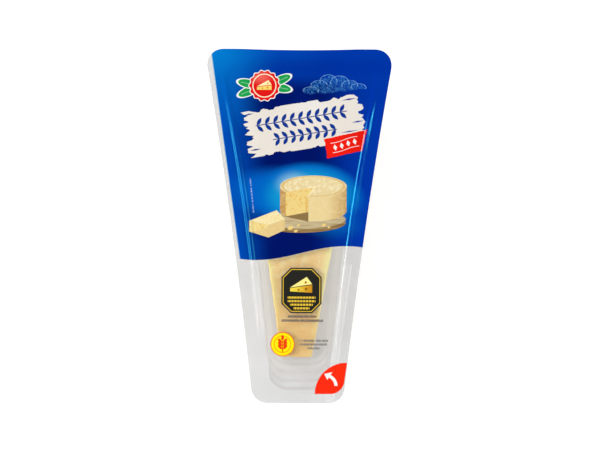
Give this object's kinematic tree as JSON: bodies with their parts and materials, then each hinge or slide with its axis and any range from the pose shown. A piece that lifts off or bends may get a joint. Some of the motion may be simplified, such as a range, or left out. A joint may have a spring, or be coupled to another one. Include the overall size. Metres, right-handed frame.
{
  "type": "sealed pack of hard cheese",
  "caption": "Wedge of hard cheese with its tip cut off, lying in a tapered clear tray whose flange is closed by a printed film.",
  "frame": {"origin": "middle of the pack's box, on the surface that the tray's floor lies on", "axes": "+Z out of the printed film, +Y along the pack towards its wide end, +X to the right when the film is seen with the wide end up"},
  "size_m": [0.1136, 0.2188, 0.031],
  "materials": {
    "clear_tray": "clear thermoformed sheet, glossy",
    "printed_film": "glossy film, printed at the wide end and clear at the narrow end",
    "cheese": "dry, finely grained paste"
  },
  "bodies": {
    "root": {"tray": "clear_tray", "lid_film": "printed_film", "cheese_wedge": "cheese"}
  },
  "joints": []
}
